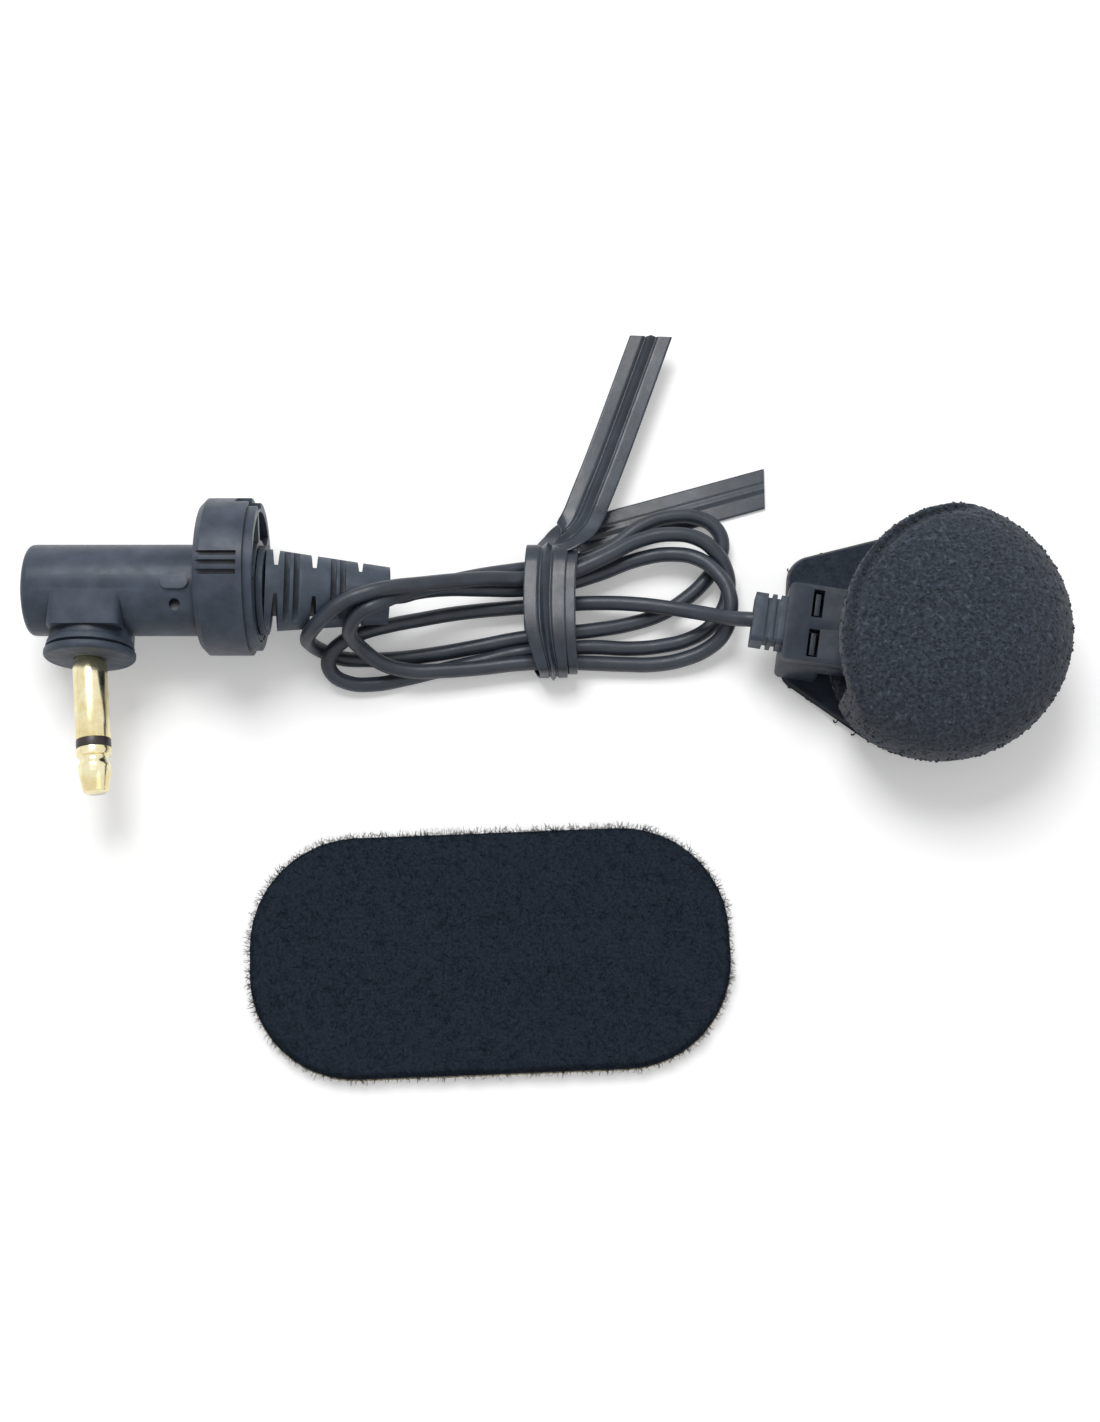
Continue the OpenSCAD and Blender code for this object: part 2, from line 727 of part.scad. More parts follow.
// Two wires from the lugs to the end of the lead
module plug_wires() {
    end_x = relief_x - spigot_len - crimp_len;
    color([0.7, 0.2, 0.15]) {
        tube([
            [plug_x + 2.2, flange_y + sleeve_in + 0.9, axis_z + 0.4],
            [plug_x + 3.4, axis_y - 0.8, axis_z + 0.4],
            [plug_x + 6, axis_y - 0.6, axis_z],
            [end_x, axis_y - 0.35, axis_z]
        ], wire_r);
        tube([
            [plug_x + 1.6, flange_y + sleeve_in + 1.6, axis_z - 0.5],
            [plug_x + 2.8, axis_y + 0.3, axis_z - 0.5],
            [plug_x + 6, axis_y + 0.6, axis_z],
            [end_x, axis_y + 0.35, axis_z]
        ], wire_r);
    }
}

module lead_crimp() {
    color([0.7, 0.7, 0.72]) barrel_frame(relief_x - spigot_len - root_t - crimp_len) along_x()
        difference() {
            cylinder(r = crimp_r, h = crimp_len);
            translate([0, 0, -over]) cylinder(r = lead_bore, h = crimp_len + 2 * over);
        }
}

// ---- loop pad ----

module loop_layer(z, t, inset) {
    translate(loop_pos) rotate([0, 0, loop_turn]) translate([0, 0, z]) linear_extrude(t)
        round_rect(loop_len - 2 * inset, loop_w - 2 * inset, loop_corner - inset);
}

module release_liner() { color([0.83, 0.76, 0.64]) loop_layer(0, liner_t, 0); }
module loop_adhesive() { color([0.85, 0.83, 0.76]) loop_layer(liner_t, loop_adh_t, 0.2); }
module loop_backing() { color([0.12, 0.14, 0.17]) loop_layer(backing_z, backing_t, 0.1); }
module loop_pile() { color([0.12, 0.15, 0.19]) loop_layer(backing_z + backing_t, pile_h, 0); }

foam_windscreen();
hook_field();
hook_tape();
hook_adhesive();
mic_base();
mic_cover();
mic_grille();
capsule_felt();
capsule_can();
capsule_gasket();
capsule_board();
mic_wires();
lead_clamp();
mic_boot();
lead_mic_tail();
lead_hank();
twist_tie();
lead_plug_tail();
strain_relief();
cam_collar();
plug_housing();
plug_flange();
plug_sleeve();
plug_band();
plug_core();
plug_tip();
sleeve_lug();
tip_lug();
plug_wires();
lead_crimp();
loop_pile();
loop_backing();
loop_adhesive();
release_liner();
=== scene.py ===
import math

import bmesh
import bpy
from mathutils import Matrix, Vector
from mathutils.geometry import convex_hull_2d


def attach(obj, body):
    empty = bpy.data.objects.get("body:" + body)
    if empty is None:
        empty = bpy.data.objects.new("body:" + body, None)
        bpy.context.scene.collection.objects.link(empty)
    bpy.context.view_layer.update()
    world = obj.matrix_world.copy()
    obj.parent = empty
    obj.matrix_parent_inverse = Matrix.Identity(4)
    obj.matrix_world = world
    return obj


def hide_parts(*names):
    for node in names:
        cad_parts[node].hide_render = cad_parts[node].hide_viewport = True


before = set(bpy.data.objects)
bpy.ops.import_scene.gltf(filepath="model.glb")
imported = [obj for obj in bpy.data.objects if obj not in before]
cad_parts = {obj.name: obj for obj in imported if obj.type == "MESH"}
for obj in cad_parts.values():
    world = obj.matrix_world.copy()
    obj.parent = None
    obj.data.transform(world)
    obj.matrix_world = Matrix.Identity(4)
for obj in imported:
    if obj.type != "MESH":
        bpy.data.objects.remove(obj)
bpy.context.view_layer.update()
mm = 0.001
floorGap = 0.02  # mm under what lies on the floor
scene = bpy.context.scene
scene.view_settings.view_transform = "Standard"

# the head lies turned, and its pieces are placed in its own directions
headTurn = math.radians(-9)
headMatrix = Matrix.Rotation(headTurn, 4, "Z")
neckSide = -1.1  # the neck's middle, across the head
leadHeight = 6.7


def headPoint(x, y, z):
    return tuple(headMatrix @ Vector((x, y, z)))


cameraSettings = {
    "aim": (-39.4, -6.15, 0), "distance": 215,  # mm
    "elevation": 75, "lens": 51.71, "sensor": 36,
}


def makeCamera(settings):
    tilt = math.radians(settings["elevation"])
    back = Vector((0, -math.cos(tilt), math.sin(tilt)))
    data = bpy.data.cameras.new("camera")
    data.lens = settings["lens"]
    data.sensor_width = settings["sensor"]
    camera = bpy.data.objects.new("camera", data)
    camera.location = (Vector(settings["aim"]) + back * settings["distance"]) * mm
    camera.rotation_euler = (math.pi / 2 - tilt, 0, 0)
    scene.collection.objects.link(camera)
    scene.camera = camera


makeCamera(cameraSettings)
print("camera ready")


leadSettings = {
    "diameter": 1.6,
    "length": 338,
    "smoothness": 5,  # spans between two route points
    "roundness": 4,
    "reliefEnd": [(-58.1, 4.5, 6.65)],  # hidden inside the strain relief
    "boot": [headPoint(-17.1, neckSide, leadHeight)],  # hidden inside the boot
    # from the strain relief, three and a half turns through the tie, to the boot
    "route": [
        (-56.15, 4.5, 6.37), (-55, 4.5, 6.2), (-53.2, 5.2, 5.5), (-50.3, 5.9, 4.4), (-46.6, 6.2, 3.4),
        (-42.6, 6.4, 2.7), (-38.5, 7, 2.3), (-34.3, 8.3, 2.1), (-30.1, 9.9, 2.2), (-26.4, 10.4, 2.5),
        (-23.6, 9.7, 2.9), (-21.7, 7.9, 3.4), (-20.6, 5.8, 3.6), (-20.5, 3.5, 3.4), (-21.2, 1.5, 2.7),
        (-22.8, 0.1, 2), (-25.3, -0.9, 1.5), (-28.4, -1.4, 1.2), (-31.6, -1.4, 1.2), (-34.8, -1.3, 1.3),
        (-38.7, -1.3, 1.7), (-42.6, -1.5, 1.9), (-46.6, -2, 2), (-50.6, -2.4, 2.3), (-54.1, -2.5, 2.6),
        (-56.9, -1.9, 3.3), (-58.8, -0.8, 4.6), (-59.8, -0.1, 6.5), (-59.8, 0.5, 8.5), (-58.8, 1.5, 9.8),
        (-57.1, 2.3, 10.1), (-54.9, 3.8, 8.7), (-51.6, 5.4, 6.8), (-47.4, 7, 5.1), (-42.7, 8.3, 3.5),
        (-37.6, 9.2, 2.8), (-32.8, 11.2, 2.5), (-29.7, 13.6, 2.3), (-26.4, 14.8, 2.1), (-23.5, 14.7, 1.9),
        (-21.6, 13.5, 1.7), (-21, 11.9, 1.4), (-21.5, 10, 1.1), (-23, 7.8, 1), (-25, 5.9, 1),
        (-27.7, 4.2, 1), (-31, 3.1, 1), (-34.6, 2.4, 1.2), (-38.8, 1.9, 1.3), (-42.8, 1.4, 1.2),
        (-47.1, 0.6, 1), (-51.6, -0.2, 0.9), (-55.6, -0.7, 0.9), (-58.9, -0.8, 0.9), (-61.6, -0.6, 0.9),
        (-63.5, 0, 1.7), (-64.3, 0.1, 3.6), (-64.4, -0.1, 6.2), (-63.6, 0.2, 8.7), (-62, 1.3, 10.3),
        (-60.1, 2.5, 10.9), (-58, 3.3, 11), (-55.8, 4, 10.5), (-52.8, 4.8, 9.2), (-49.5, 5.7, 7.6),
        (-45.9, 6.5, 6), (-42.1, 7, 4.5), (-38, 7.7, 4), (-33.5, 9.6, 4), (-29.9, 11.6, 3.6),
        (-26.3, 12.3, 3.5), (-23.6, 11.8, 3.3), (-21.8, 10.4, 3), (-20.8, 8.8, 2.4), (-20.5, 6.7, 1.9),
        (-21, 4.7, 1.4), (-22.3, 2.9, 1.2), (-24.5, 1.5, 1.1), (-27.6, 0.7, 1), (-31.1, 0.4, 1),
        (-34.7, 0.5, 1.2), (-38.7, 0.3, 1.2), (-42.7, -0.1, 1.2), (-46.9, -1, 0.8), (-51.2, -2, 0.8),
        (-54.8, -2.9, 0.8), (-58, -3.5, 0.9), (-60.7, -3.4, 1.3), (-62.3, -2.5, 2), (-62.5, -1.2, 2.9),
        (-61.3, 0.2, 3.5), (-59.1, 1.3, 3.6), (-56.4, 2.3, 3), (-53.4, 3.1, 2.4), (-49.3, 4, 1.9),
        (-43.5, 4.7, 1.6), (-38.9, 5, 1.7), (-34.5, 5.1, 2.1), (-30.2, 4.8, 2.6), (-26.5, 4.1, 3.3),
        (-23.7, 3.3, 4.3), (-21.7, 2.6, 5.3), (-20.1, 2.1, 6.1), (-18.54, 1.82, 6.7),
    ],
}


def makeLead(settings):
    line = settings["reliefEnd"] + settings["route"] + settings["boot"]
    data = bpy.data.curves.new("lead", "CURVE")
    data.dimensions = "3D"
    data.bevel_depth = settings["diameter"] / 2 * mm
    data.bevel_resolution = settings["roundness"]
    data.resolution_u = settings["smoothness"]
    data.use_fill_caps = True
    spline = data.splines.new("BEZIER")
    spline.bezier_points.add(len(line) - 1)
    for point, place in zip(spline.bezier_points, reversed(line)):
        point.co = Vector(place) * mm
        point.handle_left_type = point.handle_right_type = "AUTO"
    lead = bpy.data.objects.new("lead", data)
    scene.collection.objects.link(lead)
    return lead


lead = makeLead(leadSettings)
print("lead routed")


# tools for meshes
def newPiece(name, points, faces):
    mesh = bpy.data.meshes.new(name)
    mesh.from_pydata([Vector(p) * mm for p in points], [], faces)
    piece = bpy.data.objects.new(name, mesh)
    scene.collection.objects.link(piece)
    return piece


def settle(piece):  # the piece with its modifiers becomes a plain mesh
    depsgraph = bpy.context.evaluated_depsgraph_get()
    done = bpy.data.meshes.new_from_object(piece.evaluated_get(depsgraph), depsgraph=depsgraph)
    piece.modifiers.clear()
    piece.data = done
    return piece


def modify(piece, kind, **values):
    modifier = piece.modifiers.new(kind.lower(), kind)
    for name, value in values.items():
        setattr(modifier, name, value)
    return modifier


def smoothShade(piece, angle):
    piece.data.shade_smooth()
    piece.data.set_sharp_from_angle(angle=math.radians(angle))


def giveFinish(piece, material):
    piece.data.materials.clear()
    piece.data.materials.append(material)


def slabPiece(name, outline, low, high, edge):  # a flat piece with a rounded rim
    count = len(outline)
    points = [(x, y, low) for x, y in outline] + [(x, y, high) for x, y in outline]
    faces = [tuple(reversed(range(count))), tuple(range(count, 2 * count))]
    faces += [(i, (i + 1) % count, count + (i + 1) % count, count + i) for i in range(count)]
    piece = newPiece(name, points, faces)
    modify(piece, "BEVEL", width=edge * mm, segments=2, limit_method="ANGLE", angle_limit=math.radians(60))
    return settle(piece)


# tools for node trees
def add(tree, kind, values=None, **settings):
    made = tree.nodes.new(kind)
    for name, value in settings.items():
        setattr(made, name, value)
    for name, value in (values or {}).items():
        if isinstance(value, bpy.types.NodeSocket):
            tree.links.new(value, made.inputs[name])
        else:
            made.inputs[name].default_value = value
    return made


def newTree(name, inputs):  # inputs: name -> (kind of socket, value)
    tree = bpy.data.node_groups.new(name, "GeometryNodeTree")
    tree.interface.new_socket("Geometry", in_out="INPUT", socket_type="NodeSocketGeometry")
    tree.interface.new_socket("Geometry", in_out="OUTPUT", socket_type="NodeSocketGeometry")
    for label, (kind, value) in inputs.items():
        socket = tree.interface.new_socket(label, in_out="INPUT", socket_type="NodeSocket" + kind)
        if value is not None:
            socket.default_value = value
    return tree, tree.nodes.new("NodeGroupInput").outputs


def runTree(piece, tree, **values):
    modifier = piece.modifiers.new(tree.name, "NODES")
    modifier.node_group = tree
    for item in tree.interface.items_tree:
        if item.in_out == "INPUT" and item.name in values:
            modifier[item.identifier] = values[item.name]
    return settle(piece)


def scatterTree():  # stands copies of a small shape on a surface, with or without the surface itself
    tree, given = newTree("scatter", {
        "Shape": ("Object", None), "Density": ("Float", 1.0),
        "Smallest": ("Float", 0.5), "Largest": ("Float", 1.0), "Tilt": ("Float", 0.5),
        "Lowest": ("Float", -2.0), "Highest": ("Float", 2.0),  # how far up the surface has to face
        "Seed": ("Int", 1), "Surface": ("Bool", True), "Finish": ("Material", None),
    })
    normal = add(tree, "ShaderNodeSeparateXYZ", {0: add(tree, "GeometryNodeInputNormal").outputs[0]})
    up = normal.outputs["Z"]
    above = add(tree, "ShaderNodeMath", {0: up, 1: given["Lowest"]}, operation="GREATER_THAN")
    below = add(tree, "ShaderNodeMath", {0: up, 1: given["Highest"]}, operation="LESS_THAN")
    facing = add(tree, "ShaderNodeMath", {0: above.outputs[0], 1: below.outputs[0]}, operation="MULTIPLY")
    spread = add(tree, "GeometryNodeDistributePointsOnFaces", {
        "Mesh": given["Geometry"], "Selection": facing.outputs[0], "Density": given["Density"],
        "Seed": given["Seed"]})
    least = add(tree, "ShaderNodeMath", {0: given["Tilt"], 1: -1.0}, operation="MULTIPLY")
    low = add(tree, "ShaderNodeCombineXYZ", {"X": least.outputs[0], "Y": least.outputs[0], "Z": 0.0})
    high = add(tree, "ShaderNodeCombineXYZ", {"X": given["Tilt"], "Y": given["Tilt"], "Z": math.tau})
    lean = add(tree, "FunctionNodeRandomValue", {
        0: low.outputs[0], 1: high.outputs[0], "Seed": given["Seed"]}, data_type="FLOAT_VECTOR")
    turned = add(tree, "FunctionNodeRotateRotation", {
        "Rotation": spread.outputs["Rotation"],
        "Rotate By": add(tree, "FunctionNodeEulerToRotation", {0: lean.outputs[0]}).outputs[0],
    }, rotation_space="LOCAL")
    size = add(tree, "FunctionNodeRandomValue", {
        2: given["Smallest"], 3: given["Largest"], "Seed": given["Seed"]})
    shape = add(tree, "GeometryNodeObjectInfo", {"Object": given["Shape"]})
    copies = add(tree, "GeometryNodeInstanceOnPoints", {
        "Points": spread.outputs["Points"], "Instance": shape.outputs["Geometry"],
        "Rotation": turned.outputs[0], "Scale": size.outputs[1]})
    surface = add(tree, "GeometryNodeSwitch", {"Switch": given["Surface"], "True": given["Geometry"]},
                  input_type="GEOMETRY")
    joined = add(tree, "GeometryNodeJoinGeometry", {0: copies.outputs[0]})
    tree.links.new(surface.outputs[0], joined.inputs[0])
    whole = add(tree, "GeometryNodeRealizeInstances", {0: joined.outputs[0]})
    done = add(tree, "GeometryNodeSetMaterial", {0: whole.outputs[0], "Material": given["Finish"]})
    add(tree, "NodeGroupOutput", {0: done.outputs[0]})
    return tree


def grainTree():  # pushes a surface in and out with fine noise
    tree, given = newTree("grain", {
        "Fineness": ("Float", 2000.0), "Depth": ("Float", 0.0001), "Detail": ("Float", 2.0),
        "Finish": ("Material", None)})
    texture = add(tree, "ShaderNodeTexNoise", {"Scale": given["Fineness"], "Detail": given["Detail"]})
    centred = add(tree, "ShaderNodeMath", {0: texture.outputs[0], 1: 0.5}, operation="SUBTRACT")
    depth = add(tree, "ShaderNodeMath", {0: centred.outputs[0], 1: given["Depth"]}, operation="MULTIPLY")
    normal = add(tree, "GeometryNodeInputNormal").outputs[0]
    push = add(tree, "ShaderNodeVectorMath", {0: normal}, operation="SCALE")
    tree.links.new(depth.outputs[0], push.inputs["Scale"])
    moved = add(tree, "GeometryNodeSetPosition", {0: given["Geometry"], "Offset": push.outputs[0]})
    whole = add(tree, "GeometryNodeRealizeInstances", {0: moved.outputs[0]})
    done = add(tree, "GeometryNodeSetMaterial", {0: whole.outputs[0], "Material": given["Finish"]})
    add(tree, "NodeGroupOutput", {0: done.outputs[0]})
    return tree


scatter = scatterTree()
grain = grainTree()


# tools for finishes
def tint(code):  # a written colour, such as "3c424a", as the shader's own numbers
    parts = [int(code[i:i + 2], 16) / 255 for i in (0, 2, 4)]
    return tuple(p / 12.92 if p <= 0.04045 else ((p + 0.055) / 1.055) ** 2.4 for p in parts) + (1,)


def newFinish(name, sockets):
    material = bpy.data.materials.new(name)
    material.use_nodes = True
    tree = material.node_tree
    shader = tree.nodes["Principled BSDF"]
    for label, value in sockets.items():
        shader.inputs[label].default_value = value
    place = add(tree, "ShaderNodeTexCoord").outputs["Object"]
    return material, tree, shader, place


def noiseAt(tree, place, perMm, detail=3.0, roughness=0.55, stretch=(1, 1, 1)):
    mapping = add(tree, "ShaderNodeMapping", {"Vector": place, "Scale": stretch})
    noise = add(tree, "ShaderNodeTexNoise", {
        "Vector": mapping.outputs[0], "Scale": perMm / mm, "Detail": detail, "Roughness": roughness})
    return noise.outputs[0]


def spanned(tree, value, low, high, fromLow=0.3, fromHigh=0.7):
    return add(tree, "ShaderNodeMapRange", {
        "Value": value, "From Min": fromLow, "From Max": fromHigh, "To Min": low, "To Max": high}).outputs[0]


def coloured(tree, shader, value, dark, light, fromLow=0.35, fromHigh=0.65):
    ramp = add(tree, "ShaderNodeValToRGB", {"Fac": value})
    ramp.color_ramp.elements[0].position = fromLow
    ramp.color_ramp.elements[1].position = fromHigh
    ramp.color_ramp.elements[0].color = tint(dark)
    ramp.color_ramp.elements[1].color = tint(light)
    tree.links.new(ramp.outputs[0], shader.inputs["Base Color"])
    return ramp


def bumped(tree, shader, height, depth, strength=0.5):  # depth in mm
    bump = add(tree, "ShaderNodeBump", {"Height": height, "Distance": depth * mm, "Strength": strength})
    tree.links.new(bump.outputs[0], shader.inputs["Normal"])


# moulded, rubber, felt, woven and metal surfaces: mottled colour, uneven gloss and a fine grain, and where
# asked painted shade in creases
def surfaceFinish(name, dark, light, rough, perMm, depth, colourPerMm=0.4, stretch=(1, 1, 1), creaseShade=0,
                  specular=0.5, metallic=0.0):
    sockets = {"Specular IOR Level": specular, "Metallic": metallic}
    material, tree, shader, place = newFinish(name, sockets)
    mottle = coloured(tree, shader, noiseAt(tree, place, colourPerMm, 5.0), dark, light)
    if creaseShade:  # painted shade: ambient occlusion darkens the colour in holes and creases narrower than this many mm
        open = add(tree, "ShaderNodeAmbientOcclusion", {"Distance": creaseShade * mm}, samples=8)
        shade = spanned(tree, open.outputs["AO"], 0.02, 1.0, 0.42, 0.8)
        shadedColour = add(tree, "ShaderNodeVectorMath", {0: mottle.outputs[0]}, operation="SCALE")
        tree.links.new(shade, shadedColour.inputs["Scale"])
        tree.links.new(shadedColour.outputs[0], shader.inputs["Base Color"])
    tree.links.new(spanned(tree, noiseAt(tree, place, colourPerMm * 3), rough[0], rough[1]),
                   shader.inputs["Roughness"])
    bumped(tree, shader, noiseAt(tree, place, perMm, stretch=stretch), depth)
    return material


foamLook = {
    "dark": "1a2028", "light": "3f4753", "strand": "646c78", "cellsPerMm": 3.2, "flecksPerMm": 2.6,
    "strandsPerMm": 0.9, "strandWidth": 0.035, "strandStrength": 0.42, "breaksPerMm": 1.3, "relief": 0.12,
    "sockets": {"Roughness": 1.0, "Sheen Weight": 0.15, "Sheen Roughness": 0.6, "Specular IOR Level": 0.2},
}


def foamFinish(look):
    material, tree, shader, place = newFinish("foamCells", look["sockets"])
    cells = add(tree, "ShaderNodeTexVoronoi", {"Vector": place, "Scale": look["cellsPerMm"] / mm})
    flecks = noiseAt(tree, place, look["flecksPerMm"], 4.0, 0.7)
    mixed = add(tree, "ShaderNodeMath", {0: cells.outputs["Distance"], 1: flecks}, operation="MULTIPLY")
    ground = coloured(tree, shader, flecks, look["dark"], look["light"], 0.36, 0.66)
    # short pale strands: broken contour lines of a second noise
    waves = noiseAt(tree, place, look["strandsPerMm"], 1.0)
    centred = add(tree, "ShaderNodeMath", {0: waves, 1: 0.5}, operation="SUBTRACT")
    offLine = add(tree, "ShaderNodeMath", {0: centred.outputs[0]}, operation="ABSOLUTE")
    line = spanned(tree, offLine.outputs[0], 1.0, 0.0, 0.0, look["strandWidth"])
    breaks = noiseAt(tree, place, look["breaksPerMm"], 1.0)
    broken = spanned(tree, breaks, 0.0, look["strandStrength"], 0.52, 0.62)
    strands = add(tree, "ShaderNodeMath", {0: line, 1: broken}, operation="MULTIPLY")
    both = add(tree, "ShaderNodeMix", {
        0: strands.outputs[0], 6: ground.outputs[0], 7: tint(look["strand"])}, data_type="RGBA")
    tree.links.new(both.outputs[2], shader.inputs["Base Color"])
    bumped(tree, shader, mixed.outputs[0], look["relief"], 0.7)
    return material


def goldFinish():
    material, tree, shader, place = newFinish("goldPlate", {"Metallic": 1.0})
    coloured(tree, shader, noiseAt(tree, place, 0.5, 4.0), "dfcf9b", "f3ebc6")
    lines = noiseAt(tree, place, 1.2, stretch=(0.05, 9, 0.05))  # turning marks round the pin
    tree.links.new(spanned(tree, lines, 0.1, 0.24), shader.inputs["Roughness"])
    bumped(tree, shader, lines, 0.01, 0.25)
    return material


def pileFinish():
    material, tree, shader, place = newFinish("loopFibre", {"Roughness": 0.85, "Specular IOR Level": 0.1})
    coloured(tree, shader, noiseAt(tree, place, 3.5, 4.0, 0.75), "151c25", "2b3541", 0.34, 0.72)
    bumped(tree, shader, noiseAt(tree, place, 5.0), 0.06, 0.6)
    return material


def ribbonFinish():
    sockets = {"Coat Weight": 0.22, "Coat Roughness": 0.12, "Specular IOR Level": 0.3}
    material, tree, shader, place = newFinish("ribbonVinyl", sockets)
    coloured(tree, shader, noiseAt(tree, place, 0.25, 5.0), "1f2630", "323b47")
    tree.links.new(spanned(tree, noiseAt(tree, place, 0.8, 3.0), 0.24, 0.42), shader.inputs["Roughness"])
    bumped(tree, shader, noiseAt(tree, place, 1.6), 0.02, 0.35)
    return material


finishes = {
    "foam": foamFinish(foamLook),
    "gold": goldFinish(),
    "pile": pileFinish(),
    "ribbon": ribbonFinish(),
    # name, dark and light colour, roughness range, lumps per mm, their depth in mm
    # the moulded plastic gets painted shade in its holes and creases
    "plastic": surfaceFinish("mouldedPlastic", "353e4a", "464f5d", (0.32, 0.46), 3.0, 0.012,
                             creaseShade=1.2, specular=0.24),
    "neck": surfaceFinish("neckPlastic", "252c36", "313945", (0.36, 0.5), 3.0, 0.012, specular=0.2),
    "rubber": surfaceFinish("reliefRubber", "323b46", "424c59", (0.42, 0.6), 2.4, 0.02, specular=0.3),
    "jacket": surfaceFinish("leadJacket", "262d36", "323944", (0.34, 0.48), 2.0, 0.012, specular=0.42),
    "band": surfaceFinish("pinInsulator", "1a1412", "241c19", (0.3, 0.45), 2.0, 0.01),
    "capsule": surfaceFinish("capsuleMetal", "b9bcc0", "d3d5d7", (0.22, 0.36), 2.0, 0.006, metallic=1.0),
    "felt": surfaceFinish("dustFelt", "15171a", "262a2f", (0.9, 1.0), 6.0, 0.08, 2.0),
    "board": surfaceFinish("circuitBoard", "1c5a33", "24703f", (0.35, 0.5), 1.5, 0.01),
    "wire": surfaceFinish("wireSleeve", "24282e", "31363d", (0.4, 0.55), 2.0, 0.01),
    "tin": surfaceFinish("tinnedMetal", "c4c2b8", "dcdad0", (0.25, 0.42), 1.5, 0.01, metallic=1.0),
    "tape": surfaceFinish("hookTapeWeave", "1b1f24", "2b3037", (0.6, 0.8), 2.6, 0.06, 1.5, (1, 3, 1)),
    "hook": surfaceFinish("hookNylon", "23282e", "343a42", (0.3, 0.45), 2.0, 0.01),
    "darkGlue": surfaceFinish("darkAdhesive", "1c232d", "29313c", (0.55, 0.8), 2.0, 0.05, 1.0,
                              specular=0.12),
    "glue": surfaceFinish("padAdhesive", "b9ad95", "d3c9b4", (0.35, 0.6), 1.2, 0.03),
    "backing": surfaceFinish("loopBacking", "1a2028", "2b333d", (0.75, 0.95), 3.0, 0.07, 1.5, (3, 1, 1)),
    "liner": surfaceFinish("linerPaper", "cdbf9f", "ded2b6", (0.5, 0.7), 1.5, 0.02),
}
print("finishes mixed")

giveFinish(lead, finishes["jacket"])
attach(lead, "microphone")
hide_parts("lead_hank", "lead_mic_tail", "lead_plug_tail")

# rigid pieces are the frame's own shapes with softened edges
rigidPieces = {
    # name: (frame node, body, finish, slot, edge radius in mm)
    "plugHousing": ("plug_housing", "microphone", "plastic", "black_plastic", 0.16),
    "camCollar": ("cam_collar", "collar", "plastic", "black_plastic", 0.14),
    "strainRelief": ("strain_relief", "microphone", "rubber", "black_rubber", 0.1),
    "pinFlange": ("plug_flange", "microphone", "rubber", "black_rubber", 0.1),
    "neckBase": ("mic_base", "microphone", "neck", "black_plastic", 0.12),
    "neckCover": ("mic_cover", "microphone", "neck", "black_plastic", 0.12),
    "leadBoot": ("mic_boot", "microphone", "rubber", "black_rubber", 0.1),
    "pinSleeve": ("plug_sleeve", "microphone", "gold", "gold_plate", 0.06),
    "pinBand": ("plug_band", "microphone", "band", "plug_insulator", 0.03),
    "pinTip": ("plug_tip", "microphone", "gold", "gold_plate", 0.05),
}


def softEdged(name, node, edge):
    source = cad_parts[node].data
    piece = bpy.data.objects.new(name, source.copy())
    scene.collection.objects.link(piece)
    work = bmesh.new()
    work.from_mesh(piece.data)
    bmesh.ops.remove_doubles(work, verts=work.verts, dist=0.002 * mm)
    bmesh.ops.dissolve_limit(work, angle_limit=math.radians(0.6), verts=work.verts, edges=work.edges)
    work.to_mesh(piece.data)
    work.free()
    for attribute in ("custom_normal", "sharp_edge", "sharp_face"):
        if attribute in piece.data.attributes:
            piece.data.attributes.remove(piece.data.attributes[attribute])
    modify(piece, "BEVEL", width=edge * mm, segments=3, limit_method="ANGLE", angle_limit=math.radians(32))
    settle(piece)
    smoothShade(piece, 30)
    return piece


for name, (node, body, finish, slotName, edge) in rigidPieces.items():
    piece = softEdged(name, node, edge)
    giveFinish(piece, finishes[finish])
    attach(piece, body)
    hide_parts(node)
print("rigid pieces finished")

# inner pieces keep the frame's own shape
keptNodes = {
    "mic_grille": "plastic", "capsule_felt": "felt", "capsule_can": "capsule", "capsule_gasket": "rubber",
    "capsule_board": "board", "mic_wires": "wire", "lead_clamp": "tin", "plug_core": "band",
    "sleeve_lug": "tin", "tip_lug": "tin", "plug_wires": "wire", "lead_crimp": "tin",
}
for node, finish in keptNodes.items():
    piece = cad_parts[node]
    for slot in piece.material_slots:
        slot.link = "OBJECT"
        slot.material = finishes[finish]
print("inner pieces coloured")

foamSettings = {
    "radius": 13.5, "height": 15, "square": 2.5, "base": 1.7,
    "mouthRadius": 15.1, "mouthCentre": (4.9, -1.8), "mouthBlend": 0.6,
    # the lip and the groove beside it: size, width and how far in from the mouth's wall
    "lip": (0.35, 0.3, 0.3), "groove": (0.75, 0.42, 1.05), "lipFade": 0.8,
    "pocketRadius": 8.3, "pocketLow": 4.5, "pocketHigh": 12.3, "pocketEdge": 0.5,
    "columns": 240, "rows": 96, "voxel": 0.225,
    "grainPerMm": 2.3, "grainDepth": 0.42,
    "crumbSize": 0.15, "crumbsPerMm": 1.3, "crumbScale": (0.45, 1.3), "crumbTilt": 1.2, "seed": 4,
}


def mouthReach(direction, settings):  # from the axis to the mouth's curved wall
    centre = Vector(settings["mouthCentre"])
    along = direction.dot(centre)
    return along + math.sqrt(along * along - centre.length_squared + settings["mouthRadius"] ** 2)


